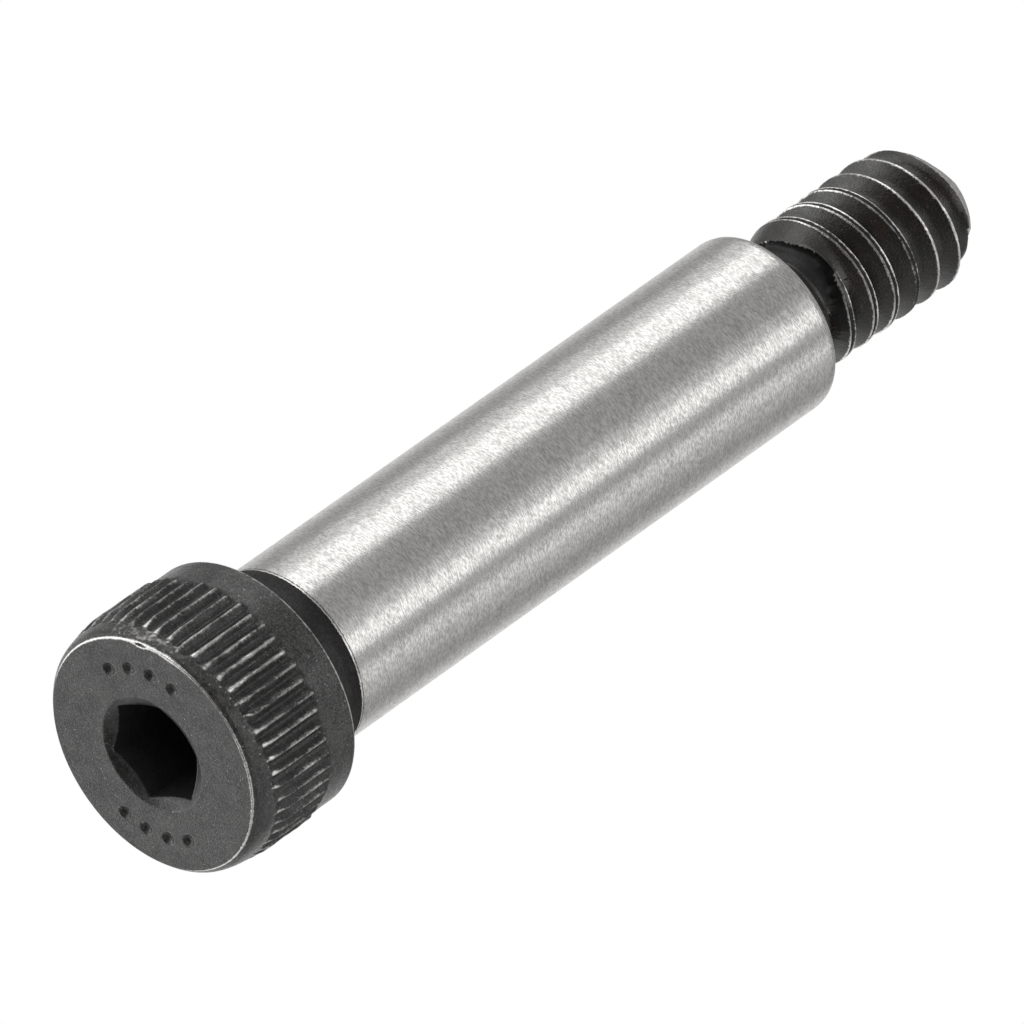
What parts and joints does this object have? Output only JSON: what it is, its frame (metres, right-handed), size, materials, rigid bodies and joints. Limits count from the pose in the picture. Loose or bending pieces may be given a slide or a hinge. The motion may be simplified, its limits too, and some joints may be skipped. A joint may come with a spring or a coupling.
{
  "type": "shoulder bolt",
  "caption": "Socket-head shoulder bolt: knurled head with a hexagon socket, ground cylindrical shoulder and a smaller coarse thread.",
  "frame": {"origin": "centre of the socket face, where the bolt stands on its head", "axes": "+Z along the bolt's axis from the head to the thread; -Y towards the side that the picture shows"},
  "size_m": [0.011, 0.011, 0.0456],
  "materials": {
    "alloy_steel": "black oxide on the head, the grooves and the thread, with a bare ground shoulder"
  },
  "bodies": {
    "root": {"shoulder_bolt": "alloy_steel"}
  },
  "joints": []
}
